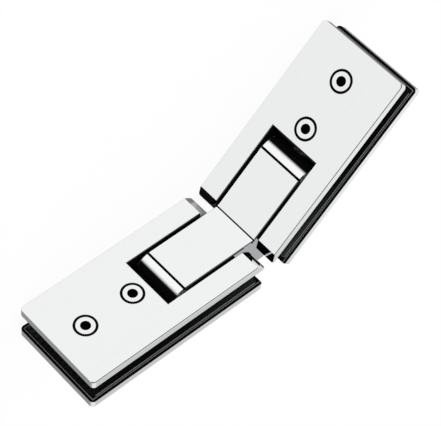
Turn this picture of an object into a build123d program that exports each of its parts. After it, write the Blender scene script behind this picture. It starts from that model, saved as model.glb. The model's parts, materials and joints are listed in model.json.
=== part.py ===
from build123d import *
from copy import copy
import os

# Glass door hinge, glass to glass, for two panels that meet at 135 degrees.
#
# Two leaves clamp the glass, and a bent block carries a barrel at each end. A pin through each barrel
# is keyed into its leaf, so either leaf swings both ways about its own pin. A spring pushes a plunger
# against flats on the pin, which centres the leaf when it is straight and when it stands at right angles.
#
# Frame: millimetres, +Z up along the pins, -Y out of the inner faces, on the side where the leaves fold
# towards each other. The origin is under the middle of the hinge's bounding box, on its lower edges.

# ---------------------------------------------------------------- driving dimensions, mm
fold_angle = 135.0            # between the inner faces of the two leaves

leaf_length = 100.0
leaf_height = 50.0
plate_thickness = 4.25
glass_thickness = 10.0
gasket_thickness = 0.75
gasket_inset = 2.0            # the gaskets' edge lies this far inside the plates' edge
far_corner_radius = 2.0       # corners at the leaf's outer end
near_corner_radius = 1.0      # corners at the end beside the fold
plate_edge_radius = 0.5       # rounding round each plate's outer face
end_bevel_run = 4.5           # bevel on the ends of the front plates' fingers, along the leaf
end_bevel_depth = 3.5         # the same bevel, across the plate

block_width = 25.0            # along the pins
long_reach = 39.7             # from the fold to the pin on the panel's side
short_reach = 32.7            # from the fold to the pin on the door's side
side_gap = 1.5                # between the block's ends and the leaf's fingers
nose_gap = 2.8                # between the barrel's nose and the end of the leaf's notch
flat_lead = 1.3               # the flat faces run this far past the pin's axis
groove_width = 1.1            # relief groove between each flat face and the round of the barrel
groove_depth = 1.4            # below the flat face
notch_depth = 48.3            # the leaf's notch, from its end beside the fold
seam_width = 0.5              # fine groove along the fold
seam_depth = 0.6
block_edge_chamfer = 0.4

pin_diameter = 10.0
pin_key_flat = 4.0            # from the pin's axis to the flat that keys its ends
pin_end_gap = 0.5             # between the pin's end and the end of its saddle
detent_flat = 4.4             # from the pin's axis to each centring flat
detent_flat_length = 9.0      # of those flats, along the pin
pin_end_chamfer = 0.5
bush_wall = 1.5
bush_flange_radius = 7.5
bush_flange_thickness = 1.2
saddle_length = 6.0           # bearing of each saddle on the pin's end
saddle_width = 16.0
saddle_split = 0.1            # each saddle stops this far short of the pin's axis
seat_clearance = 0.03         # round a pin, bush or plunger that sits still in its seat
running_clearance = 0.05      # round a pin that turns in its bush

plunger_diameter = 7.8
plunger_length = 9.0
plunger_tip_chamfer = 1.0
plunger_gap = 0.3             # from the plunger's tip to the turning pin
plug_length = 2.6
plug_slot_width = 1.2
plug_slot_depth = 0.9
plug_setback = 0.35           # from the barrel's nose to the plug
spring_length = 12.0
spring_diameter = 7.0         # outside
spring_wire_width = 1.3       # of its flat wire, along the radius
spring_wire_height = 1.0      # along the spring
spring_turns = 5.0

screw_diameter = 6.0
screw_head_diameter = 10.3
screw_rim_run = 0.75          # bevel round the head's flat top, along the radius
screw_rim_depth = 0.5         # and across it
socket_across_flats = 4.0
socket_depth = 2.4
cone_clearance = 0.02         # between the screw's cone and its countersink
shank_gap = 0.2               # round the screw's shank, in the front plate
thread_gap = 0.05
thread_skin = 1.75            # metal left between the thread and the back plate's outer face
screw_tip_gap = 0.75          # from the screw's tip to the end of its thread
outer_screw_inset = 16.5      # from the leaf's outer end
inner_screw_setback = 8.5     # from the end of the leaf's notch
boss_diameter = 10.0
boss_height = 6.5             # above the back plate's inner face
sleeve_wall = 2.0
sleeve_gap = 0.1              # between the nylon sleeve and the boss
sleeve_relief = 0.5           # the sleeve is this much shorter than the space between the plates
gasket_hole_gap = 0.2
cutout_gap = 0.5              # from the saddles to the glass, which is cut away round them and the block
cutout_margin = 8.0           # the cut-out runs this far past the inner screw
cutout_radius = 4.0

# ---------------------------------------------------------------- worked out from them
slot = glass_thickness + 2 * gasket_thickness
total_thickness = 2 * plate_thickness + slot
mid_depth = total_thickness / 2
back_inner = plate_thickness + slot
half_turn = (180.0 - fold_angle) / 2
notch_width = block_width + 2 * side_gap
barrel_radius = mid_depth
pin_inset = notch_depth - nose_gap - barrel_radius
pin_radius = pin_diameter / 2
bush_bore_radius = pin_radius + running_clearance
bush_radius = bush_bore_radius + bush_wall
cutout_height = notch_width + 2 * (saddle_length + cutout_gap)
barrel_bore_radius = bush_radius + seat_clearance
bush_length = (block_width - detent_flat_length) / 2
pin_half_length = notch_width / 2 + saddle_length - pin_end_gap
plunger_radius = plunger_diameter / 2
pocket_radius = plunger_radius + seat_clearance
plunger_tip = pin_radius + plunger_gap
plunger_back = plunger_tip + plunger_length
pocket_end = plunger_back + spring_length
screw_radius = screw_diameter / 2
head_radius = screw_head_diameter / 2
outer_screw_at = leaf_length - outer_screw_inset
inner_screw_at = notch_depth + inner_screw_setback
thread_end = total_thickness - thread_skin
screw_length = thread_end - screw_tip_gap
boss_radius = boss_diameter / 2
sleeve_bore_radius = boss_radius + sleeve_gap
sleeve_radius = sleeve_bore_radius + sleeve_wall
overrun = 1.0                 # how far a cutting tool runs past the faces that it cuts


# ---------------------------------------------------------------- drawing helpers
def slab(outline, near, far):
    """Extrude an outline drawn on the leaf's face, from one depth behind that face to another."""
    return extrude(Plane.XZ.offset(-near) * outline, amount=near - far)


def column(outline, height):
    """Extrude an outline drawn across the pins, to a height centred on the leaf."""
    return extrude(outline, amount=height / 2, both=True)


def post(radius, near, far, at):
    """A round post, hole or ring blank square to the leaf's face."""
    return slab(Pos(at, 0) * Circle(radius), near, far)


# ---------------------------------------------------------------- the leaf, in its own frame
# x runs from the end beside the fold to the outer end, y is the depth behind the front face and
# z is the height above the leaf's middle.
def leaf_outline(inset):
    length = leaf_length - 2 * inset
    blank = Pos(leaf_length / 2, 0) * Rectangle(length, leaf_height - 2 * inset)
    blank = fillet(blank.vertices().group_by(Axis.X)[-1], far_corner_radius)
    return fillet(blank.vertices().group_by(Axis.X)[0], near_corner_radius)


def notch_outline():
    length = notch_depth + overrun
    return Pos(notch_depth - length / 2, 0) * Rectangle(length, notch_width)


def rounded_plate(near, far, outer_face):
    """A notched plate with its outer face's rim rounded: outer_face is 0 for the front, -1 for the back."""
    blank = slab(leaf_outline(0) - notch_outline(), near, far)
    rim = blank.faces().sort_by(Axis.Y)[outer_face].edges()
    return fillet(rim, plate_edge_radius)


def saddle_blocks(near, far):
    """The pair of blocks, one on each finger, that hold the pin's ends."""
    middle = (notch_width + saddle_length) / 2
    face = Rectangle(saddle_width, saddle_length)
    pair = Pos(pin_inset, middle) * face + Pos(pin_inset, -middle) * face
    return slab(pair, near, far)


def pin_seats(key):
    """The space that the pin's ends take out of the saddles, with the key's flat if it is asked for."""
    round_seat = Pos(pin_inset, mid_depth) * Circle(pin_radius + seat_clearance)
    if key:
        width = 2 * pin_radius + overrun
        floor = mid_depth + pin_key_flat + seat_clearance
        round_seat -= Pos(pin_inset, floor + width / 2) * Rectangle(width, width)
    start = notch_width / 2 - overrun
    end = pin_half_length + pin_end_gap + overrun
    seat = Pos(0, 0, start) * extrude(round_seat, amount=end - start)
    return seat + mirror(seat, Plane.XY)


def clamp_screw(at):
    """A countersunk screw with a hexagon socket, flush with the front plate."""
    shank = screw_radius - thread_gap
    cone_end = screw_rim_depth + head_radius - shank
    points = [(0, 0), (head_radius - screw_rim_run, 0), (head_radius, screw_rim_depth)]
    points += [(shank, cone_end), (shank, screw_length), (0, screw_length)]
    body = revolve(make_face(Polyline(*points, close=True)), Axis.Y)
    body = chamfer(body.edges().sort_by(Axis.Y)[-1], shank / 4)
    socket = slab(RegularPolygon(socket_across_flats / 2, 6, major_radius=False), -overrun, socket_depth)
    return Pos(at, 0, 0) * (body - socket)


def countersink(at):
    """A right-angled cone that meets the head's cone, so its mouth stands just outside the head."""
    shank = screw_radius + shank_gap
    mouth = head_radius + screw_rim_depth + cone_clearance
    depth = plate_thickness + overrun
    points = [(0, -overrun), (mouth + overrun, -overrun), (shank, mouth - shank), (shank, depth), (0, depth)]
    return Pos(at, 0, 0) * revolve(make_face(Polyline(*points, close=True)), Axis.Y)


def finger_bevel():
    """The wedge cut from the fingers' ends, so that the leaves clear each other at the fold."""
    slope = end_bevel_depth / end_bevel_run
    corners = [
        (end_bevel_run + overrun / slope, -overrun),
        (-overrun, end_bevel_depth + slope * overrun),
        (-overrun, -overrun),
    ]
    return column(make_face(Polyline(*corners, close=True)), leaf_height + 2 * overrun)


def front_plate():
    plate = rounded_plate(0, plate_thickness, 0)
    plate += saddle_blocks(plate_thickness / 2, mid_depth - saddle_split)
    plate -= finger_bevel()
    plate -= pin_seats(key=False)
    return plate - countersink(inner_screw_at) - countersink(outer_screw_at)


def back_plate():
    plate = rounded_plate(back_inner, total_thickness, -1)
    plate += saddle_blocks(mid_depth + saddle_split, total_thickness - plate_thickness / 2)
    plate -= pin_seats(key=True)
    for at in (inner_screw_at, outer_screw_at):
        plate += post(boss_radius, back_inner - boss_height, back_inner + plate_thickness / 2, at)
        plate -= post(screw_radius, back_inner - boss_height - overrun, thread_end, at)
    return plate


def glass_cutout():
    """The opening in the gaskets, the same as the one cut in the glass round the block and saddles."""
    length = inner_screw_at + cutout_margin + overrun
    opening = Pos(length / 2 - overrun, 0) * Rectangle(length, cutout_height)
    return fillet(opening.vertices().group_by(Axis.X)[-1], cutout_radius)


def gasket(near):
    """Rubber pad between the glass and a plate, with its front face at the depth that is given."""
    outline = leaf_outline(gasket_inset) - glass_cutout()
    outline -= Pos(outer_screw_at, 0) * Circle(sleeve_radius + gasket_hole_gap)
    return slab(outline, near, near + gasket_thickness)


def glass_sleeve():
    """Nylon tube round the outer screw's boss, which keeps the metal off the hole in the glass."""
    top = plate_thickness + sleeve_relief
    return post(sleeve_radius, top, back_inner, outer_screw_at) - post(
        sleeve_bore_radius, top - overrun, back_inner + overrun, outer_screw_at
    )


def pivot_pin():
    pin = Cylinder(pin_radius, 2 * pin_half_length)
    pin = chamfer(pin.edges().filter_by(GeomType.CIRCLE), pin_end_chamfer)
    side = 2 * pin_radius
    flat = Box(side, side, detent_flat_length)
    reach = detent_flat + side / 2
    for x, y in ((-reach, 0), (0, reach), (0, -reach)):
        pin -= Pos(x, y, 0) * flat
    key_start = notch_width / 2
    key = Box(side, side, pin_half_length)
    for end in (1, -1):
        pin -= Pos(0, pin_key_flat + side / 2, end * (key_start + pin_half_length / 2)) * key
    return Pos(pin_inset, mid_depth, 0) * pin


# ---------------------------------------------------------------- the block and what it carries
# An arm's frame has its origin on the fold, in the front face, with x out along the arm and y its depth.
def arm_outline(reach):
    """One arm of the block across the pins: a straight bar, a relief groove and the round barrel."""
    stop = reach + flat_lead
    fold_lap = total_thickness
    bar = Pos((stop - fold_lap) / 2, mid_depth) * Rectangle(stop + fold_lap, total_thickness)
    barrel = Pos(reach, mid_depth) * Circle(barrel_radius)
    groove = Rectangle(groove_width, 2 * groove_depth)
    middle = stop + groove_width / 2
    return bar + barrel - Pos(middle, 0) * groove - Pos(middle, total_thickness) * groove


def half_space(side):
    """Everything on one side of the fold, for mitring an arm."""
    size = 2 * (long_reach + leaf_length)
    return Pos(side * size / 2, 0) * Rectangle(size, size)


def bush(end):
    """Flanged bush in the barrel's top (1) or bottom (-1): the flange carries the leaf's weight."""
    face = block_width / 2
    body = Pos(0, 0, face - bush_length / 2) * Cylinder(bush_radius, bush_length)
    body += Pos(0, 0, face + bush_flange_thickness / 2) * Cylinder(bush_flange_radius, bush_flange_thickness)
    bore_length = bush_length + bush_flange_thickness
    body -= Pos(0, 0, face + bush_flange_thickness - bore_length / 2) * Cylinder(bush_bore_radius, bore_length)
    return body if end > 0 else mirror(body, Plane.XY)


def detent_plunger():
    """Round plunger that presses on the pin, in line with the arm. Its tip points to the pin."""
    body = Cylinder(plunger_radius, plunger_length)
    body = chamfer(body.edges().sort_by(Axis.Z)[-1], plunger_tip_chamfer)
    return Pos(-(plunger_tip + plunger_length / 2), 0, 0) * Rot(0, 90, 0) * body


def detent_spring():
    """Die spring of flat wire, between the plunger and the bottom of its bore."""
    mean_radius = (spring_diameter - spring_wire_width) / 2
    rise = spring_length - 1.5 * spring_wire_height
    path = Helix(rise / spring_turns, rise, mean_radius)
    start = Plane(path @ 0, x_dir=(1, 0, 0), z_dir=path % 0)
    coil = sweep(start * Rectangle(spring_wire_width, spring_wire_height), path, is_frenet=True)
    return Pos(-(plunger_back + spring_length - 0.75 * spring_wire_height), 0, 0) * Rot(0, 90, 0) * coil


def nose_plug():
    """Slotted plug that closes the bore where its drill came in, at the barrel's nose."""
    body = Cylinder(plunger_radius, plug_length)
    slot_cutter = Box(plug_slot_width, 2 * plunger_diameter, plug_slot_depth)
    body -= Pos(0, 0, (plug_length - plug_slot_depth) / 2) * slot_cutter
    return Pos(barrel_radius - plug_setback - plug_length / 2, 0, 0) * Rot(0, 90, 0) * body


def pocket(reach):
    """The bore for the plunger and spring, drilled from the barrel's nose towards the fold."""
    length = barrel_radius + overrun + pocket_end
    tool = Cylinder(pocket_radius, length)
    return Pos(reach + barrel_radius + overrun - length / 2, mid_depth, 0) * Rot(0, 90, 0) * tool


# ---------------------------------------------------------------- places in the hinge's frame
# The fold's front edge lies on the Z axis at the leaf's middle until the hinge is whole.
PANEL_ARM = Rot(0, 0, -half_turn)
DOOR_ARM = Rot(0, 0, half_turn) * Rot(0, 180, 0)
SIDES = {"panel": (PANEL_ARM, long_reach), "door": (DOOR_ARM, short_reach)}


def centre_block():
    """Both arms mitred at the fold, bored for the bushes, pins, plungers and springs."""
    outline = Sketch()
    for side, (arm, reach) in zip((1, -1), SIDES.values()):
        outline += (arm * arm_outline(reach)) & half_space(side)
    outline -= Rectangle(seam_width, 2 * seam_depth)
    block = column(outline, block_width)
    ends = block.faces().filter_by(Axis.Z)
    block = chamfer(ends.edges(), block_edge_chamfer)
    for arm, reach in SIDES.values():
        block -= arm * Pos(reach, mid_depth, 0) * Cylinder(barrel_bore_radius, block_width + overrun)
        block -= arm * pocket(reach)
    return block


def hinge():
    """Every piece of the hinge, node by node, with the fold's front edge on the Z axis."""
    pieces = {"centre_block": centre_block()}
    for name, (arm, reach) in SIDES.items():
        leaf = arm * Pos(reach - pin_inset, 0, 0)
        axis = arm * Pos(reach, mid_depth, 0)
        up = 1 if name == "panel" else -1
        pieces[name + "_front_plate"] = leaf * front_plate()
        pieces[name + "_back_plate"] = leaf * back_plate()
        pieces[name + "_front_gasket"] = leaf * gasket(plate_thickness)
        pieces[name + "_back_gasket"] = leaf * gasket(back_inner - gasket_thickness)
        pieces[name + "_inner_screw"] = leaf * clamp_screw(inner_screw_at)
        pieces[name + "_outer_screw"] = leaf * clamp_screw(outer_screw_at)
        pieces[name + "_glass_sleeve"] = leaf * glass_sleeve()
        pieces[name + "_pivot_pin"] = leaf * pivot_pin()
        pieces[name + "_upper_bush"] = axis * bush(up)
        pieces[name + "_lower_bush"] = axis * bush(-up)
        pieces[name + "_detent_plunger"] = axis * detent_plunger()
        pieces[name + "_detent_spring"] = axis * detent_spring()
        pieces[name + "_nose_plug"] = axis * nose_plug()
    return pieces


def stood_up(pieces):
    """The same pieces moved together, until the origin is under the middle of their bounding box."""
    box = Compound(children=[copy(piece) for piece in pieces.values()]).bounding_box()
    move = Pos(-box.center().X, -box.center().Y, -box.min.Z)
    print(f"moved by {move.position.X:.3f}, {move.position.Y:.3f}, {move.position.Z:.3f} mm")
    return {node: move * piece for node, piece in pieces.items()}


os.makedirs("parts", exist_ok=True)
for node, piece in stood_up(hinge()).items():
    export_step(piece, f"parts/{node}.step")
    box = piece.bounding_box()
    print(f"{node}: {box.size.X:.1f} x {box.size.Y:.1f} x {box.size.Z:.1f} mm")
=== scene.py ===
# %% [markdown]
# A hinge for a glass shower screen. Two clamps of polished chrome each grip a sheet of glass
# between rubber pads, and a block bent to 135 degrees carries them on two upright pins.
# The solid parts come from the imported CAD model, so this script dresses them: it gives every
# part its finish, makes the screws and the ribbed pads, and lights the whole like a small studio.

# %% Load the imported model
import json
import math

import bmesh
import bpy
from mathutils import Matrix, Vector


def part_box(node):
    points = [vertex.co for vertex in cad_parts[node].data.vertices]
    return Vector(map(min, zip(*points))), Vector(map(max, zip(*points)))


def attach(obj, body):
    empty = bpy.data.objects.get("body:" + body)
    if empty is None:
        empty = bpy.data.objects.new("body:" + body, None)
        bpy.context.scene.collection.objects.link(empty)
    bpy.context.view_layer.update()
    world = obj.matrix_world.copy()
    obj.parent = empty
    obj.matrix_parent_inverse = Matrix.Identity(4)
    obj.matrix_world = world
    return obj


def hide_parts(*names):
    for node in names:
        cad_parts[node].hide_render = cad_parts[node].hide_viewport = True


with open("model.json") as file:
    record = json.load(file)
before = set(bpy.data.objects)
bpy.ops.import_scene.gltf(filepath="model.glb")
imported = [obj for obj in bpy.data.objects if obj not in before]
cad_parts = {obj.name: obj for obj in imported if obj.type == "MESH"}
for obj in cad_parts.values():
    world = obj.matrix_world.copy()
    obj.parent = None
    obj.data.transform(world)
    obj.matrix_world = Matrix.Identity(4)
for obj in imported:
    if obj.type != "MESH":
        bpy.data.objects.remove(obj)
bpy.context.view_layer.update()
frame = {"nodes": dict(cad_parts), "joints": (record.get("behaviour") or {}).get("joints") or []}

MM = 0.001
scene = bpy.context.scene
nodes = frame["nodes"]
joints = {joint["name"]: joint for joint in frame["joints"]}

# %% [markdown]
# Node trees are quicker to read as sums than as boxes and links. Two small classes do that here.
# A Wire is one output socket: adding or multiplying wires adds the Math or Vector Math node that
# does the sum. A Graph is one tree, and its add method makes any other node: its type, then its
# settings, then what goes into its sockets. Both work in materials, in the world and in Geometry
# Nodes, because all three share the Math nodes. A Finish is the Graph of one material.

# %% Wires and graphs
class Wire:
    """One output socket, used in a sum as if it were a number or a vector."""

    def __init__(self, graph, socket):
        self.graph = graph
        self.socket = socket

    def reckon(self, operation, *values):
        vector = any(isinstance(v, (tuple, Vector)) or getattr(v, "is_vector", False) for v in values)
        kind = "ShaderNodeVectorMath" if vector else "ShaderNodeMath"
        return self.graph.add(kind, {"operation": operation}, dict(enumerate(values)))

    @property
    def is_vector(self):
        return self.socket.type in ("VECTOR", "RGBA")

    def __add__(self, other):
        return self.reckon("ADD", self, other)

    def __radd__(self, other):
        return self.reckon("ADD", other, self)

    def __sub__(self, other):
        return self.reckon("SUBTRACT", self, other)

    def __rsub__(self, other):
        return self.reckon("SUBTRACT", other, self)

    def __mul__(self, other):
        return self.reckon("MULTIPLY", self, other)

    def __rmul__(self, other):
        return self.reckon("MULTIPLY", other, self)

    def __truediv__(self, other):
        return self.reckon("DIVIDE", self, other)

    def __rtruediv__(self, other):
        return self.reckon("DIVIDE", other, self)

    def __pow__(self, other):
        return self.reckon("POWER", self, other)

    def __neg__(self):
        return 0.0 - self

    def __abs__(self):
        return self.reckon("ABSOLUTE", self)

    def least(self, other):
        return self.reckon("MINIMUM", self, other)

    def most(self, other):
        return self.reckon("MAXIMUM", self, other)

    def dot(self, other):
        settings = {"operation": "DOT_PRODUCT"}
        return self.graph.add("ShaderNodeVectorMath", settings, {0: self, 1: other}, "Value")


class Graph:
    """A node tree that is written as Python."""

    def __init__(self, tree):
        self.tree = tree

    def add(self, kind, settings=None, sockets=None, out=0):
        made = self.tree.nodes.new(kind)
        for key, value in (settings or {}).items():
            setattr(made, key, value)
        for key, value in (sockets or {}).items():
            socket = made.inputs[key]
            if isinstance(value, Wire):
                self.tree.links.new(value.socket, socket)
            elif socket.type == "VECTOR" and isinstance(value, (int, float)):
                socket.default_value = (value, value, value)
            else:
                socket.default_value = value
        return made if out is None else Wire(self, made.outputs[out])

    def smooth(self, value, start, end):
        """0 before start and 1 past end, with a soft step between. Start may be the larger."""
        sockets = {"Value": value, "From Min": start, "From Max": end}
        return self.add("ShaderNodeMapRange", {"interpolation_type": "SMOOTHSTEP"}, sockets)

    def blend(self, factor, first, second):
        """Mix two colours."""
        sockets = {0: factor, 6: first, 7: second}
        return self.add("ShaderNodeMix", {"data_type": "RGBA"}, sockets, 2)

    def noise(self, point, scale, detail=3.0):
        return self.add("ShaderNodeTexNoise", None, {"Vector": point, "Scale": scale, "Detail": detail})


class Finish(Graph):
    """A material, and the point on the piece that it reads its pattern from."""

    def __init__(self, name):
        self.material = bpy.data.materials.new(name)
        self.material.use_nodes = True
        super().__init__(self.material.node_tree)
        self.tree.nodes.clear()
        self.point = self.add("ShaderNodeTexCoord", None, None, "Object")

    def bump(self, height, strength, distance):
        sockets = {"Height": height, "Strength": strength, "Distance": distance}
        return self.add("ShaderNodeBump", None, sockets, "Normal")

    def surface(self, **sockets):
        inputs = {name.replace("_", " "): value for name, value in sockets.items()}
        shader = self.add("ShaderNodeBsdfPrincipled", None, inputs)
        self.add("ShaderNodeOutputMaterial", None, {"Surface": shader}, None)
        return self.material


print("classes for node trees:", Wire.__name__, Graph.__name__, Finish.__name__)

# %% [markdown]
# The camera looks down on the hinge from a little above, through a long lens, so that the two
# clamps keep nearly the same size. It is rolled well over, which lays the upright hinge
# diagonally across the view. Three unit vectors say which way it faces.

# %% Camera
camera_data = bpy.data.cameras.new("camera")
camera = bpy.data.objects.new("camera", camera_data)
scene.collection.objects.link(camera)
scene.camera = camera
camera_data.lens = 154.6
camera_data.sensor_width = 36.0
camera_data.clip_start = 0.05
camera_data.clip_end = 20.0
camera_right = Vector((-0.71359, 0.21213, 0.66767))
camera_up = Vector((-0.69229, -0.35951, -0.62569))
camera_back = Vector((0.10731, -0.90871, 0.4034))
camera_stand = Vector((0.09033, -0.772863, 0.36346))
camera_axes = Matrix((camera_right, camera_up, camera_back)).transposed().to_4x4()
camera.matrix_world = Matrix.Translation(camera_stand) @ camera_axes
print("camera stands", round(camera_stand.length, 3), "m from the origin")

# %% [markdown]
# Each clamp is easiest to describe in its own directions: x along it from the fold, depth
# behind its front face, and height from its middle. The pin's axis, which the model gives as a
# joint, fixes where a clamp is, because the pin sits a known way in from the clamp's end.
# The same three numbers are worked out on Vectors, to place pieces, and on Wires, to say
# where on the metal a finish changes.

# %% The clamps' own directions
BLOCK_ANGLE = 135.0
HALF_TURN = math.radians((180.0 - BLOCK_ANGLE) / 2)
PIN_INSET = 35.5 * MM
THICKNESS = 20.0 * MM
GLASS = 10.0 * MM
PLATE = 4.25 * MM


class Clamp:
    """One clamp: its end beside the fold, and its directions along and through."""

    def __init__(self, joint, side):
        self.along = Vector((side * math.cos(HALF_TURN), -math.sin(HALF_TURN), 0.0))
        self.inward = Vector((side * math.sin(HALF_TURN), math.cos(HALF_TURN), 0.0))
        axis = Vector(joints[joint]["pos_m"])
        self.end = axis - PIN_INSET * self.along - THICKNESS / 2 * self.inward

    def place(self, x, depth, height):
        return self.end + x * self.along + depth * self.inward + Vector((0, 0, height))

    def read(self, point):
        """The wires for x, depth and height at a shaded point."""
        away = point - self.end
        return away.dot(self.along), away.dot(self.inward), away.dot((0.0, 0.0, 1.0))

    def turn(self):
        """The turn for a piece that is made with +X along the clamp and +Z out of its front face."""
        outward = -self.inward
        return Matrix((self.along, outward.cross(self.along), outward)).transposed().to_euler()


clamps = {"panel": Clamp("panel_pivot", 1.0), "door": Clamp("door_pivot", -1.0)}
for name, clamp in clamps.items():
    print(name, "clamp starts at", [round(value, 4) for value in clamp.end])

# %% [markdown]
# Chrome plate is a hard mirror over polished brass. What makes it look real is what it
# reflects, so its colour stays almost even. A very shallow ripple bends the reflections a
# little, as buffing does, and faint wiping marks change how sharp they are.
# The walls of the notch, the faces under the rubber and the mouths of the screw holes are
# painted with shade: near black and dull.
# One number goes from 0 on the polished skin to 1 in such places. It takes the
# metal's mirror away as well as its colour, so that the painted shade stays dark at a glancing look too.
# Painted highlights, painted reflections and painted grey shade each come as a tint: a mask with its own
# colour.

# %% Polished chrome with painted shade
CHROME = (0.90, 0.905, 0.91, 1.0)
CHROME_WIPED = (0.885, 0.89, 0.9, 1.0)
# Near black, the colour of painted shade.
PAINTED_SHADE_BLACK = (0.004, 0.004, 0.0045, 1.0)
POLISHED = 0.03
WIPING_ROUGHNESS = 0.02
SHADE_ROUGHNESS = 0.35
WIPING_GRAIN = (30.0, 30.0, 420.0)
WIPING_STEP = (0.55, 0.8)
RIPPLE_GRAIN = 60.0
RIPPLE_STRENGTH = 0.02
RIPPLE_HEIGHT = 0.2 * MM


def chrome(finish, painted_shade, tints=(), satin=0.0):
    """Plate painted with shade, dark and dull, where the mask is 1. A tint is a mask and a colour, and
    satin adds roughness.
    """
    ripple = finish.noise(finish.point, RIPPLE_GRAIN, 2.0)
    wiping = finish.noise(finish.point * WIPING_GRAIN, 1.0, 4.0)
    streaks = finish.smooth(wiping, *WIPING_STEP)
    colour = finish.blend(streaks, CHROME, CHROME_WIPED)
    colour = finish.blend(painted_shade, colour, PAINTED_SHADE_BLACK)
    for mask, tint in tints:
        colour = finish.blend(mask, colour, tint)
    return finish.surface(
        Base_Color=colour,
        Metallic=1.0 - painted_shade,
        Roughness=POLISHED + WIPING_ROUGHNESS * streaks + SHADE_ROUGHNESS * painted_shade + satin,
        Specular_IOR_Level=0.0,
        Normal=finish.bump(ripple, RIPPLE_STRENGTH, RIPPLE_HEIGHT),
    )


print("chrome is rough from", POLISHED, "on the skin to", POLISHED + SHADE_ROUGHNESS, "in a hollow")

# %% [markdown]
# A clamp's plates are painted with shade, dark and dull, on the walls of the notch, between the two
# faces that the pads lie on, and in the mouths of the screw holes. They could be separate materials on
# picked faces.
# Masks made from the clamp's own x, depth and height say the same in a few sums, and the edge of
# each falls exactly where the metal turns a corner.
# Just outside the pads a thin grey strip is a painted reflection on the plates' inner faces, and the
# bevelled lower end of the fixed panel's clamp keeps the satin of the grinding belt in its roughness,
# with a painted grey shade in its colour.

# %% Where shade is painted on the clamps' plates
def half_height(node):
    lowest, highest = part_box(node)
    return (highest[2] - lowest[2]) / 2


# The grey of a painted reflection on the plates' inner faces, beside the pads.
SLOT_REFLECTION_GREY = (0.2, 0.21, 0.215, 1.0)
# A painted grey shade for the satin lower end.
SATIN_SHADE_GREY = (0.55, 0.575, 0.585, 1.0)
NOTCH_DEPTH = 48.3 * MM
NOTCH_HALF = 14.0 * MM
LEAF = 100.0 * MM
LEAF_HALF = half_height("panel_front_plate")
BEVEL_RUN = 4.5 * MM
HOLE_EDGE = 5.67 * MM
SOFT = 0.08 * MM
REFLECTION_STRIP_BAND = (1.2 * MM, 1.6 * MM)
REFLECTION_SOFT = 0.05 * MM
MIDDLE_FADE = 2.0 * MM
screw_seats = {"inner": 56.8 * MM, "outer": 83.5 * MM}


def inner_faces(finish, depth):
    """1 on and between the faces that the pads lie on, and 0 on the outside of both plates."""
    inside = finish.smooth(depth, PLATE - 2 * SOFT, PLATE - SOFT)
    return inside * finish.smooth(depth, THICKNESS - PLATE + 2 * SOFT, THICKNESS - PLATE + SOFT)


# Painted shade on the plates: the notch walls, the faces under the pads and the screw holes' mouths.
def plate_painted_shade(finish, clamp):
    x, depth, height = clamp.read(finish.point)
    in_notch = finish.smooth(abs(height), NOTCH_HALF + 2 * SOFT, NOTCH_HALF + SOFT)
    in_notch = in_notch * finish.smooth(x, NOTCH_DEPTH + 2 * SOFT, NOTCH_DEPTH + SOFT)
    painted_shade = in_notch.most(inner_faces(finish, depth))
    in_front = finish.smooth(depth, 0.0, SOFT) * finish.smooth(depth, PLATE + 2 * SOFT, PLATE + SOFT)
    for seat in screw_seats.values():
        radius = ((x - seat) ** 2.0 + height ** 2.0) ** 0.5
        painted_shade = painted_shade.most(finish.smooth(radius, HOLE_EDGE + SOFT, HOLE_EDGE) * in_front)
    return painted_shade


def painted_reflection_strip(finish, clamp):
    """1 on a thin strip of each inner face, just outside the pad, where a grey reflection is painted."""
    x, depth, height = clamp.read(finish.point)
    border = (LEAF_HALF - abs(height)).least(LEAF - x)
    near, far = REFLECTION_STRIP_BAND
    strip = finish.smooth(border, near - REFLECTION_SOFT, near + REFLECTION_SOFT)
    strip = strip * finish.smooth(border, far + REFLECTION_SOFT, far - REFLECTION_SOFT)
    return strip * inner_faces(finish, depth)


def lower_end(finish, clamp):
    """1 on the bevelled end of the clamp's lower finger."""
    x, depth, height = clamp.read(finish.point)
    lower = finish.smooth(height, MIDDLE_FADE, -MIDDLE_FADE)
    return lower * finish.smooth(x, BEVEL_RUN, BEVEL_RUN - SOFT)


# %% The clamps' plates
SATIN = {"panel": 0.24}
plate_chrome = {}
for name, clamp in clamps.items():
    finish = Finish(name + "_plate_chrome")
    # A painted grey reflection in a thin strip beside the pads.
    tints = [(painted_reflection_strip(finish, clamp), SLOT_REFLECTION_GREY)]
    satin = 0.0
    if name in SATIN:
        # The panel clamp's lower end: satin roughness, and a painted grey shade in its colour.
        end = lower_end(finish, clamp)
        tints.append((end, SATIN_SHADE_GREY))
        satin = SATIN[name] * end
    plate_chrome[name] = chrome(finish, plate_painted_shade(finish, clamp), tints, satin)
print("plates:", sorted(material.name for material in plate_chrome.values()))

# %% [markdown]
# The block carries two fine details painted dark: a groove across each arm, between its flat
# face and the round of its barrel, painted as shade, and a hairline seam along the fold, where the
# two arms meet, a dark joint line. Each barrel's round inside the notch has a painted highlight on
# its first millimetre or two, the nose, and painted shade, dark and dull, on the rest. The sawn ends,
# up and down, are painted a little greyer, as shade.

# %% Where shade and highlights are painted on the block
PANEL_REACH = 39.7 * MM
FLAT_LEAD = 1.3 * MM
GROOVE = 1.1 * MM
SEAM = 0.32 * MM
SEAM_FADE = (2.0 * MM, 1.0 * MM)
NOSE_HIGHLIGHT_DEPTH = (1.0 * MM, 2.2 * MM)
BLOCK_HALF = half_height("centre_block")
# A painted highlight on the nose of each barrel.
NOSE_HIGHLIGHT = (0.98, 0.985, 0.99, 1.0)
# A painted grey shade on the block's ends, up and down.
END_SHADE_GREY = (0.5, 0.53, 0.55, 1.0)


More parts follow.
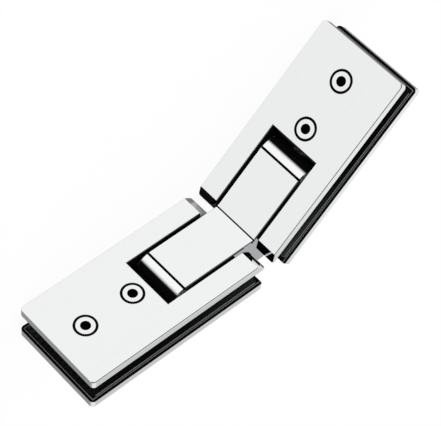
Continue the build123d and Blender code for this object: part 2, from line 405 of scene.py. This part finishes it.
# Painted shade on the block: the groove and the barrel's round past the nose, with the seam's dark joint
# line.
def block_painted_shade(finish):
    fold = clamps["panel"].end - (PANEL_REACH - PIN_INSET) * clamps["panel"].along
    print("the fold's front edge is at", [round(value, 4) for value in fold])
    away = finish.point - fold
    across = abs(away.dot((1.0, 0.0, 0.0)))
    behind = away.dot((0.0, 1.0, 0.0))
    painted_shade = finish.smooth(across, SEAM + SOFT, SEAM) * finish.smooth(behind, *SEAM_FADE)
    for clamp in clamps.values():
        x, depth, height = clamp.read(finish.point)
        middle = PIN_INSET + FLAT_LEAD + GROOVE / 2
        # Painted shade in the groove across each arm.
        in_groove = finish.smooth(abs(x - middle), GROOVE / 2 + 2 * SOFT, GROOVE / 2 + SOFT)
        below = finish.smooth(abs(depth - THICKNESS / 2), THICKNESS / 2 - SOFT / 2, THICKNESS / 2 - SOFT)
        # Painted shade on the round of the barrel past the nose.
        round_back = finish.smooth(x, middle, middle + GROOVE) * finish.smooth(depth, *NOSE_HIGHLIGHT_DEPTH)
        painted_shade = painted_shade.most(in_groove * below).most(round_back)
    return painted_shade


def block_tints(finish):
    """The nose beyond each groove carries a painted highlight, and the sawn ends are painted greyer, as
    shade.
    """
    nose = 0.0
    groove_end = PIN_INSET + FLAT_LEAD + GROOVE
    for clamp in clamps.values():
        x, depth, height = clamp.read(finish.point)
        # The nose past the groove carries a painted highlight.
        past = finish.smooth(x, groove_end, groove_end + SOFT)
        nose = past * finish.smooth(depth, *reversed(NOSE_HIGHLIGHT_DEPTH)) + nose
    # The block's ends, up and down, are painted greyer, as shade.
    end_shade = finish.smooth(abs(height), BLOCK_HALF - SOFT, BLOCK_HALF - SOFT / 2)
    return [(nose * (1.0 - end_shade), NOSE_HIGHLIGHT), (end_shade, END_SHADE_GREY)]


finish = Finish("block_chrome")
block_chrome = chrome(finish, block_painted_shade(finish), block_tints(finish))
print("the block's finish has", len(block_chrome.node_tree.nodes), "nodes")

# %% [markdown]
# The pads are black rubber, cut from sheet. The moulded face is matt black with a slight
# mottle, and the cut edge is painted a lighter grey, as a highlight where the edge catches light.
# The face turns a lighter grey towards the fold, and more so on the door's pads.

# %% Pad rubber
RUBBER = (0.001, 0.001, 0.0012, 1.0)
RUBBER_MOTTLE = (0.006, 0.006, 0.0065, 1.0)
# A lighter grey for the pad face near the fold.
RUBBER_FOLD_GREY = (0.06, 0.07, 0.072, 1.0)
# A painted highlight for the pads' cut edge.
RUBBER_EDGE_HIGHLIGHT = (0.24, 0.245, 0.25, 1.0)
PAD_EDGE = half_height("panel_front_gasket") - 0.1 * MM
FOLD_GREY_SHARE = {"panel": 0.25, "door": 0.8}
FOLD_GREY_RUN = (55.0 * MM, 2.0 * MM)


def rubber(name, clamp):
    finish = Finish(name + "_pad_rubber")
    x, depth, height = clamp.read(finish.point)
    mottle = finish.noise(finish.point, 900.0, 4.0)
    face = finish.blend(mottle, RUBBER, RUBBER_MOTTLE)
    # The face turns a lighter grey towards the fold, more on the door's pads.
    face = finish.blend(finish.smooth(x, *FOLD_GREY_RUN) * FOLD_GREY_SHARE[name], face, RUBBER_FOLD_GREY)
    # Painted highlight: the cut edge is lighter grey.
    cut = finish.smooth(abs(height), PAD_EDGE, PAD_EDGE + SOFT)
    return finish.surface(
        Base_Color=finish.blend(cut, face, RUBBER_EDGE_HIGHLIGHT),
        Roughness=0.5 + 0.2 * mottle + 0.1 * cut,
        Specular_IOR_Level=0.25,
        Normal=finish.bump(finish.noise(finish.point, 2500.0, 2.0), 0.25, 0.00005),
    )


pad_rubber = {name: rubber(name, clamp) for name, clamp in clamps.items()}
print("pads:", sorted(material.name for material in pad_rubber.values()))

# %% [markdown]
# The small working parts are plainer. The pins and plungers are ground steel with fine rings,
# the springs are blue-grey drawn wire, the bushes are black acetal, and the sleeves are
# milky nylon. Each still has the grain that its making leaves.

# %% Steel, acetal and nylon
def ground_steel(name, colour, roughness):
    finish = Finish(name)
    rings = finish.noise(finish.point * (40.0, 40.0, 9000.0), 1.0, 3.0)
    stain = finish.noise(finish.point, 120.0, 4.0)
    dark = tuple(0.8 * part for part in colour)
    return finish.surface(
        Base_Color=finish.blend(stain, (*dark, 1.0), (*colour, 1.0)),
        Metallic=1.0,
        Roughness=roughness + 0.12 * rings,
        Normal=finish.bump(rings, 0.1, 0.00002),
    )


def moulded(name, colour, roughness, grain):
    finish = Finish(name)
    pits = finish.noise(finish.point, grain, 3.0)
    cloud = finish.noise(finish.point, 90.0, 2.0)
    dark = tuple(0.85 * part for part in colour)
    return finish.surface(
        Base_Color=finish.blend(cloud, (*dark, 1.0), (*colour, 1.0)),
        Roughness=roughness + 0.12 * pits,
        Normal=finish.bump(pits, 0.1, 0.00003),
    )


pin_steel = ground_steel("pin_steel", (0.55, 0.56, 0.58), 0.22)
spring_steel = ground_steel("spring_steel", (0.22, 0.24, 0.28), 0.32)
# The nose plug is painted near black, as shade.
plug_steel = ground_steel("plug_steel", (0.02, 0.02, 0.022), 0.4)
black_acetal = moulded("black_acetal", (0.03, 0.03, 0.032), 0.32, 1500.0)
milky_nylon = moulded("milky_nylon", (0.72, 0.71, 0.67), 0.42, 1200.0)
print("five finishes for the working parts")

# %% [markdown]
# Every CAD part is named for its clamp and its job, so one small table from job to finish
# dresses them all. Only the plates and the pads differ between the two clamps.

# %% Give every part its finish
plain_finishes = {
    "glass_sleeve": milky_nylon,
    "pivot_pin": pin_steel,
    "upper_bush": black_acetal,
    "lower_bush": black_acetal,
    "detent_plunger": pin_steel,
    "detent_spring": spring_steel,
    "nose_plug": plug_steel,
    "inner_screw": pin_steel,
    "outer_screw": pin_steel,
}


def finish_for(node):
    if node == "centre_block":
        return block_chrome
    side, part = node.split("_", 1)
    if part in plain_finishes:
        return plain_finishes[part]
    return plate_chrome[side] if part.endswith("plate") else pad_rubber[side]


for node, part in nodes.items():
    part.data.materials.clear()
    part.data.materials.append(finish_for(node))
print("finished", len(nodes), "parts")

# %% [markdown]
# Four countersunk screws clamp the glass. They are all alike, so one Geometry Nodes tree makes
# the screw, and an instance of it goes on each point of a tiny mesh that holds the seats.
# The tree stacks open cones and a cylinder: the flat top, the bevel round its rim, the cone, the
# thread and the tip. Rings that meet are merged into one closed skin. The thread is a rule: a
# point moves in by an amount that depends on its height less its share of a turn. A hexagonal
# prism and a shallow cone are then cut from the top. Every face below the flat top is marked
# "recess", so that the finish can paint shade, dark and dull, in the socket and in the bevel.
# A Maker is a Graph for Geometry Nodes. It keeps the identifier of each input, because that, and
# not the label, is what sets the input on a modifier.

# %% A tree with named sizes
class Maker(Graph):
    """A Geometry Nodes tree whose sizes are named inputs."""

    kinds = {int: "NodeSocketInt", float: "NodeSocketFloat", tuple: "NodeSocketVector"}

    def __init__(self, name, sizes):
        super().__init__(bpy.data.node_groups.new(name, "GeometryNodeTree"))
        face = self.tree.interface
        face.new_socket("Geometry", in_out="INPUT", socket_type="NodeSocketGeometry")
        self.identifiers = {}
        for label, value in sizes.items():
            socket = face.new_socket(label, in_out="INPUT", socket_type=self.kinds[type(value)])
            socket.default_value = value
            self.identifiers[label] = socket.identifier
        face.new_socket("Geometry", in_out="OUTPUT", socket_type="NodeSocketGeometry")
        self.entry = self.add("NodeGroupInput", None, None, None)
        self.base = self.size("Geometry")

    def size(self, label):
        return Wire(self, self.entry.outputs[label])

    def vector(self, x=0.0, y=0.0, z=0.0):
        return self.add("ShaderNodeCombineXYZ", None, {"X": x, "Y": y, "Z": z})

    def parts_of(self, vector):
        split = self.add("ShaderNodeSeparateXYZ", None, {0: vector}, None)
        return [Wire(self, output) for output in split.outputs]

    def move(self, geometry, x=0.0, y=0.0, z=0.0):
        sockets = {"Geometry": geometry, "Translation": self.vector(x, y, z)}
        return self.add("GeometryNodeTransform", None, sockets)

    def join(self, *geometries):
        made = self.add("GeometryNodeJoinGeometry", None, None, None)
        for geometry in reversed(geometries):
            self.tree.links.new(geometry.socket, made.inputs[0])
        return Wire(self, made.outputs[0])

    def cut(self, solid, *tools):
        made = self.add("GeometryNodeMeshBoolean", {"operation": "DIFFERENCE"}, {0: solid}, None)
        for tool in tools:
            self.tree.links.new(tool.socket, made.inputs[1])
        return Wire(self, made.outputs["Mesh"])

    def close(self, geometry, material):
        real = self.add("GeometryNodeRealizeInstances", None, {"Geometry": geometry})
        sockets = {"Geometry": real, "Material": material}
        made = self.add("GeometryNodeSetMaterial", None, sockets)
        self.add("NodeGroupOutput", None, {"Geometry": made}, None)

    def make(self, name, base, sizes):
        """Run the tree on a base mesh, and return an object that holds the result as a plain mesh."""
        piece = bpy.data.objects.new(name, base)
        scene.collection.objects.link(piece)
        modifier = piece.modifiers.new("maker", "NODES")
        modifier.node_group = self.tree
        for label, value in sizes.items():
            modifier[self.identifiers[label]] = value
        seen = piece.evaluated_get(bpy.context.evaluated_depsgraph_get())
        piece.data = bpy.data.meshes.new_from_object(seen)
        piece.modifiers.clear()
        print(name, "has", len(piece.data.polygons), "faces")
        return piece


print("socket types:", sorted(Maker.kinds.values()))

# %% The screw's finish
screw_finish = Finish("screw_chrome")
# The recess faces are where the screw's chrome is painted with shade.
recess = screw_finish.add("ShaderNodeAttribute", {"attribute_name": "recess"}, None, "Fac")
screw_chrome = chrome(screw_finish, recess)
print("screws:", screw_chrome.name)

# %% The screw's tree
screw_sizes = {
    "Turn": (0.0, 0.0, 0.0),
    "Head radius": 5.15 * MM,
    "Rim run": 0.75 * MM,
    "Rim depth": 0.5 * MM,
    "Shank radius": 2.95 * MM,
    "Length": 17.5 * MM,
    "Thread pitch": 1.0 * MM,
    "Thread depth": 0.45 * MM,
    "Tip bevel": 0.7 * MM,
    "Hexagon across flats": 4.0 * MM,
    "Hexagon depth": 2.4 * MM,
    "Sides": 72,
}
screw = Maker("countersunk_screw", screw_sizes)
sides = screw.size("Sides")
head, shank = screw.size("Head radius"), screw.size("Shank radius")
flat_top = head - screw.size("Rim run")
rim = screw.size("Rim depth")
tip = screw.size("Tip bevel")
cone = head - shank


def disc(radius):
    sockets = {"Vertices": sides, "Radius": radius}
    return screw.add("GeometryNodeMeshCircle", {"fill_type": "NGON"}, sockets)


def taper(upper, lower, depth, drop):
    """An open cone from one radius down to another, with its top at the given drop."""
    sockets = {"Vertices": sides, "Radius Top": upper, "Radius Bottom": lower, "Depth": depth}
    skin = screw.add("GeometryNodeMeshCone", {"fill_type": "NONE"}, sockets, "Mesh")
    return screw.move(skin, z=-(drop + depth))


print("a screw has", len(screw_sizes), "sizes")

# %% The thread
ROWS_PER_TURN = 6.0
pitch = screw.size("Thread pitch")
thread_length = screw.size("Length") - rim - cone - tip
rows = screw.add("FunctionNodeFloatToInt", None, {"Float": thread_length / pitch * ROWS_PER_TURN})
tube = screw.add(
    "GeometryNodeMeshCylinder",
    {"fill_type": "NONE"},
    {"Vertices": sides, "Side Segments": rows, "Radius": shank, "Depth": thread_length},
    "Mesh",
)
spot = screw.add("GeometryNodeInputPosition")
across_x, across_y, up = screw.parts_of(spot)
share_of_turn = across_y.reckon("ARCTAN2", across_y, across_x) / (2.0 * math.pi)
climb = up / pitch - share_of_turn
ridge = 1.0 - abs(2.0 * climb.reckon("FRACT", climb) - 1.0)
near_end = screw.smooth(abs(up), thread_length / 2.0, thread_length / 2.0 - pitch)
sink = screw.size("Thread depth") * ridge * near_end
ratio = -(sink / shank)
shifted = screw.vector(across_x * ratio, across_y * ratio, 0.0)
thread = screw.add("GeometryNodeSetPosition", None, {"Geometry": tube, "Offset": shifted})
thread = screw.move(thread, z=-(rim + cone + thread_length / 2.0))
print("the thread has", ROWS_PER_TURN, "rows of faces to each turn")

# %% The screw's skin
WELD = 0.005 * MM
bottom = screw.add("GeometryNodeFlipFaces", None, {"Mesh": disc(shank - tip)})
skin = screw.join(
    disc(flat_top),
    taper(flat_top, head, rim, 0.0),
    taper(head, shank, cone, rim),
    thread,
    taper(shank, shank - tip, tip, screw.size("Length") - tip),
    screw.move(bottom, z=-screw.size("Length")),
)
skin = screw.add("GeometryNodeMergeByDistance", None, {"Geometry": skin, "Distance": WELD})
print("the skin's rings are welded within", WELD, "m")

# %% The screw's socket and its instances
LEAD_IN_DEPTH = 0.6 * MM
LEAD_IN_DROP = 0.5 * MM
BELOW_TOP = 0.01 * MM
corner = screw.size("Hexagon across flats") / (2.0 * math.cos(math.pi / 6))
deep = screw.size("Hexagon depth")
prism_sockets = {"Vertices": 6, "Radius": corner, "Depth": 2.0 * deep}
prism = screw.add("GeometryNodeMeshCylinder", None, prism_sockets, "Mesh")
lead_in_sockets = {
    "Vertices": sides,
    "Radius Top": corner + 0.2 * MM,
    "Radius Bottom": corner - 0.4 * MM,
    "Depth": LEAD_IN_DEPTH,
}
lead_in = screw.add("GeometryNodeMeshCone", None, lead_in_sockets, "Mesh")
body = screw.cut(skin, prism, screw.move(lead_in, z=-LEAD_IN_DROP))
below = 0.0 - screw.parts_of(screw.add("GeometryNodeInputPosition"))[2]
marked = screw.add(
    "GeometryNodeStoreNamedAttribute",
    {"data_type": "FLOAT", "domain": "FACE"},
    {"Geometry": body, "Name": "recess", "Value": below.reckon("GREATER_THAN", below, BELOW_TOP)},
)
turn = screw.add("FunctionNodeEulerToRotation", None, {"Euler": screw.size("Turn")})
placed_sockets = {"Points": screw.base, "Instance": marked, "Rotation": turn}
placed = screw.add("GeometryNodeInstanceOnPoints", None, placed_sockets)
screw.close(placed, screw_chrome)
print("the screw's tree has", len(screw.tree.nodes), "nodes")

# %% Two screws in each clamp
for name, clamp in clamps.items():
    seats = bpy.data.meshes.new(name + "_screw_seats")
    seats.from_pydata([clamp.place(x, 0.0, 0.0) for x in screw_seats.values()], [], [])
    pair = screw.make(name + "_screws", seats, {"Turn": tuple(clamp.turn())})
    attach(pair, name + "_leaf")
    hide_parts(name + "_inner_screw", name + "_outer_screw")

# %% [markdown]
# The pads grip the glass with fine grooves, moulded into the face that touches it, which let
# water out and the rubber give. A second tree cuts them: a line of points up the pad, a thin bar
# on each point, and one Boolean that takes all the bars from a copy of the plain pad.

# %% The ribbed pad's tree
groove_sizes = {
    "First groove": (0.0, 0.0, 0.0),
    "Turn": (0.0, 0.0, 0.0),
    "Spacing": 3.0 * MM,
    "Grooves": 15,
    "Groove width": 0.9 * MM,
    "Groove depth": 0.35 * MM,
    "Bar length": 110.0 * MM,
}
ribbed = {}
for name, clamp in clamps.items():
    pad = Maker(name + "_ribbed_pad", groove_sizes)
    step = pad.vector(0.0, 0.0, pad.size("Spacing"))
    line_sockets = {
        "Count": pad.size("Grooves"),
        "Start Location": pad.size("First groove"),
        "Offset": step,
    }
    line = pad.add("GeometryNodeMeshLine", {"mode": "OFFSET"}, line_sockets)
    bar_depth = 2.0 * pad.size("Groove depth")
    bar_size = pad.vector(pad.size("Bar length"), pad.size("Groove width"), bar_depth)
    bar = pad.add("GeometryNodeMeshCube", None, {"Size": bar_size}, "Mesh")
    turn = pad.add("FunctionNodeEulerToRotation", None, {"Euler": pad.size("Turn")})
    bar_sockets = {"Points": line, "Instance": bar, "Rotation": turn}
    bars = pad.add("GeometryNodeInstanceOnPoints", None, bar_sockets)
    bars = pad.add("GeometryNodeRealizeInstances", None, {"Geometry": bars})
    pad.close(pad.cut(pad.base, bars), pad_rubber[name])
    ribbed[name] = pad
    print(pad.tree.name, "has", len(pad.tree.nodes), "nodes")


# %% Four ribbed pads
CORNER_GAP = 0.002 * MM
PAD_FACES = {"front": (THICKNESS - GLASS) / 2, "back": (THICKNESS + GLASS) / 2}
LOWEST_GROOVE = -groove_sizes["Spacing"] * (groove_sizes["Grooves"] - 1) / 2


def welded(source):
    """A copy of a part's mesh with its loose triangles joined at their corners."""
    copy = source.data.copy()
    work = bmesh.new()
    work.from_mesh(copy)
    bmesh.ops.remove_doubles(work, verts=work.verts, dist=CORNER_GAP)
    work.to_mesh(copy)
    work.free()
    return copy


for name, clamp in clamps.items():
    for face, depth in PAD_FACES.items():
        node = name + "_" + face + "_gasket"
        first = clamp.place(LEAF / 2, depth, LOWEST_GROOVE)
        settings = {"First groove": tuple(first), "Turn": tuple(clamp.turn())}
        piece = ribbed[name].make(name + "_" + face + "_pad", welded(nodes[node]), settings)
        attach(piece, name + "_leaf")
        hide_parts(node)

# %% [markdown]
# Behind the front plate, a thin strip of black pad rubber runs across the end of each notch as
# painted shade, so that the notch's end is dark and no light comes through between the barrel and
# the notch's end wall. It is a plain slab with its edges broken: a cube that is scaled, turned into
# the clamp's directions and bevelled, all in its mesh, so that the object itself stays at the origin.

# %% A strip of painted shade at the end of each notch
SHADE_STRIP = Vector((5.5, 27.0, 0.6)) * MM
SHADE_STRIP_OVERHANG = 1.6 * MM
SHADE_STRIP_EDGE = 0.15 * MM
# Each strip is a dark sheet of painted shade at the notch's end.
for name, clamp in clamps.items():
    work = bmesh.new()
    middle_x = NOTCH_DEPTH - SHADE_STRIP_OVERHANG + SHADE_STRIP.x / 2
    middle = clamp.place(middle_x, PLATE + SHADE_STRIP.z / 2, 0.0)
    turned_slab = clamp.turn().to_matrix().to_4x4() @ Matrix.Diagonal(SHADE_STRIP).to_4x4()
    bmesh.ops.create_cube(work, size=1.0, matrix=Matrix.Translation(middle) @ turned_slab)
    bmesh.ops.bevel(work, geom=work.edges, offset=SHADE_STRIP_EDGE, segments=2, affect="EDGES")
    mesh = bpy.data.meshes.new(name + "_notch_shade_strip")
    work.to_mesh(mesh)
    work.free()
    mesh.materials.append(pad_rubber[name])
    strip = bpy.data.objects.new(name + "_notch_shade_strip", mesh)
    scene.collection.objects.link(strip)
    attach(strip, name + "_leaf")
    print(strip.name, "has", len(mesh.polygons), "faces")

# %% [markdown]
# The floor is plain and pale. To the camera it glows white, like a paper sweep that is lit
# from below, with just enough matt paper mixed in to keep the hinge's shadow.
# The chrome doesn't mirror the floor itself: it mirrors the studio's walls, further down.

# %% Floor
GLOW_SHARE = 0.93
FLOOR_HALF = 3.0
floor_finish = Finish("floor_paper")
rays = floor_finish.add("ShaderNodeLightPath", None, None, None)
camera_ray = Wire(floor_finish, rays.outputs["Is Camera Ray"])
glossy_ray = Wire(floor_finish, rays.outputs["Is Glossy Ray"])
clear_ray = Wire(floor_finish, rays.outputs["Is Transmission Ray"])
paper = floor_finish.add("ShaderNodeBsdfDiffuse", None, {"Color": (0.9, 0.9, 0.9, 1.0)})
glow = floor_finish.add("ShaderNodeEmission", None, {"Color": (1.0, 1.0, 1.0, 1.0), "Strength": 1.0})
share = GLOW_SHARE * (camera_ray + glossy_ray + clear_ray)
both = floor_finish.add("ShaderNodeMixShader", None, {0: share, 1: paper, 2: glow})
floor_finish.add("ShaderNodeOutputMaterial", None, {"Surface": both}, None)
floor_mesh = bpy.data.meshes.new("floor")
corners = [(x * FLOOR_HALF, y * FLOOR_HALF, 0.0) for x, y in ((-1, -1), (1, -1), (1, 1), (-1, 1))]
floor_mesh.from_pydata(corners, [], [(0, 1, 2, 3)])
floor_mesh.materials.append(floor_finish.material)
floor = bpy.data.objects.new("floor", floor_mesh)
floor.visible_glossy = False
scene.collection.objects.link(floor)
print("the floor is", 2 * FLOOR_HALF, "m wide")

# %% [markdown]
# Chrome shows nothing but its surroundings, so they are drawn in the world as a white studio
# tent. Real panels round the hinge would do it too, but a few soft-edged fields in the world are
# quicker to aim, and cast no shadow.
# A ray has a bearing, which is 0 in front of the hinge and 90 on its +X side, and a rise above
# the horizon, both in degrees.
# The camera looks down, so the flat faces mirror what lies low in front: that stretch is white.
# It fades to grey round the back, which is lighter higher up. A dark band hangs above the white
# stretch, one dark card stands past the +X side, and the top and the ground are pale.
# Only glossy rays see all this. The camera sees plain white, and matt surfaces are lit by an
# even white, so colours stay as they are written.

# %% Bearing and rise
world = bpy.data.worlds.new("studio")
scene.world = world
world.use_nodes = True
world.node_tree.nodes.clear()
studio = Graph(world.node_tree)
DEGREE = math.pi / 180
way = studio.add("ShaderNodeTexCoord", None, None, "Generated")
side_way = way.dot((1.0, 0.0, 0.0))
front_way = way.dot((0.0, -1.0, 0.0))
up_way = way.dot((0.0, 0.0, 1.0))
bearing = side_way.reckon("ARCTAN2", side_way, front_way) / DEGREE
rise = up_way.reckon("ARCSINE", up_way) / DEGREE
turned = abs(bearing)
print("the world's directions take", len(world.node_tree.nodes), "nodes")


# %% The walls, the band and the card
FRONT_END = (68.0, 112.0)
FRONT_BEARING = -50.0
FRONT_WHITE = 0.97
FRONT_FALL = 0.0005
REAR_MIDDLE = (176.0, 169.0)
REAR_CLIMB = (-21.0, 4.0)
REAR_GREY = 0.30
REAR_HIGH = 0.32
REAR_SIDES = 0.26
CARD_SIDES = ((98.0, 104.0), (130.0, 122.0))
CARD_TOP = (12.0, 2.0)
CARD_DARK = 0.985
BAND_EDGES = ((-9.0, -3.0), (76.0, 68.0))
BAND_DARK = 0.88
TOP_EDGE = (68.0, 80.0)
TOP_WHITE = 0.95
GROUND_EDGE = (-50.0, -62.0)
GROUND_WHITE = 0.85


def field(value, edge, far_edge):
    """1 between two soft edges of a value. Each edge is where it starts and where it ends."""
    return studio.smooth(value, *edge) * studio.smooth(value, *far_edge)


def cover(walls, mask, white):
    """Paint the walls with another white where the mask is 1."""
    return walls * (1.0 - mask) + white * mask


def darken(walls, mask, share):
    """Take this share of the walls' light away where the mask is 1."""
    return walls * (1.0 - share * mask)


past_front = studio.smooth(turned, *FRONT_END)
off_middle = studio.smooth(turned, *REAR_MIDDLE)
front = FRONT_WHITE - FRONT_FALL * (bearing - FRONT_BEARING)
rear = REAR_GREY + (REAR_HIGH + REAR_SIDES * off_middle) * studio.smooth(rise, *REAR_CLIMB)
walls = cover(front, past_front, rear)
walls = darken(walls, field(bearing, *CARD_SIDES) * studio.smooth(rise, *CARD_TOP), CARD_DARK)
walls = darken(walls, field(rise, *BAND_EDGES) * (1.0 - past_front), BAND_DARK)
walls = cover(walls, studio.smooth(rise, *TOP_EDGE), TOP_WHITE)
walls = cover(walls, studio.smooth(rise, *GROUND_EDGE), GROUND_WHITE)
print("with the walls the world has", len(world.node_tree.nodes), "nodes")

# %% Who sees the walls
path = studio.add("ShaderNodeLightPath", None, None, None)
glossy = Wire(studio, path.outputs["Is Glossy Ray"])
strength = glossy * walls + (1.0 - glossy)
light = studio.add("ShaderNodeBackground", None, {"Color": (1.0, 1.0, 1.0, 1.0), "Strength": strength})
studio.add("ShaderNodeOutputWorld", None, {"Surface": light}, None)
print("only glossy rays see the walls")

# %% [markdown]
# One broad soft lamp high on the left gives the matt parts a direction and the floor a faint
# shadow. It stays weak, because the white world already gives most of the light.

# %% Lamp
LAMP_AIM = Vector((0.0, 0.0, 0.02))
lamp_data = bpy.data.lights.new("key", "AREA")
lamp_data.size = 0.6
lamp_data.energy = 2.0
lamp = bpy.data.objects.new("key", lamp_data)
lamp.location = (-0.5, -0.6, 0.9)
lamp.rotation_mode = "QUATERNION"
lamp.rotation_quaternion = (LAMP_AIM - lamp.location).to_track_quat("-Z", "Y")
lamp.visible_glossy = False
scene.collection.objects.link(lamp)
print("the lamp stands", round((LAMP_AIM - lamp.location).length, 3), "m from the hinge")

# %% [markdown]
# Standard shows each colour as it is written. Nothing was moved or made larger.

# %% Finish
scene.view_settings.view_transform = "Standard"
